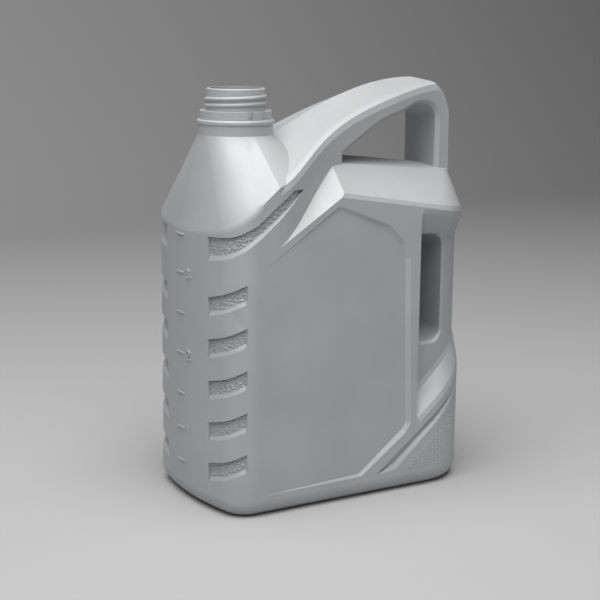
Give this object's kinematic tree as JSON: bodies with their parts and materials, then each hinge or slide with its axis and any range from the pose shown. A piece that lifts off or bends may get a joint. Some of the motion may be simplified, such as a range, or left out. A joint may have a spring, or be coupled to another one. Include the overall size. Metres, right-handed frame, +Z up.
{
  "type": "plastic jerrycan bottle",
  "caption": "Blow-moulded plastic jerrycan with a threaded neck at the front, a handle arched over the shoulder and a grip hole in a narrowed rear waist.",
  "frame": {"origin": "middle of the footprint's bounding box, on the floor", "axes": "+X towards the rear grip, +Y across the width, +Z up"},
  "size_m": [0.197, 0.114, 0.2741],
  "materials": {
    "bottle": "satin silver-grey polyethylene"
  },
  "bodies": {
    "root": {"jerrycan_bottle": "bottle"}
  },
  "joints": []
}
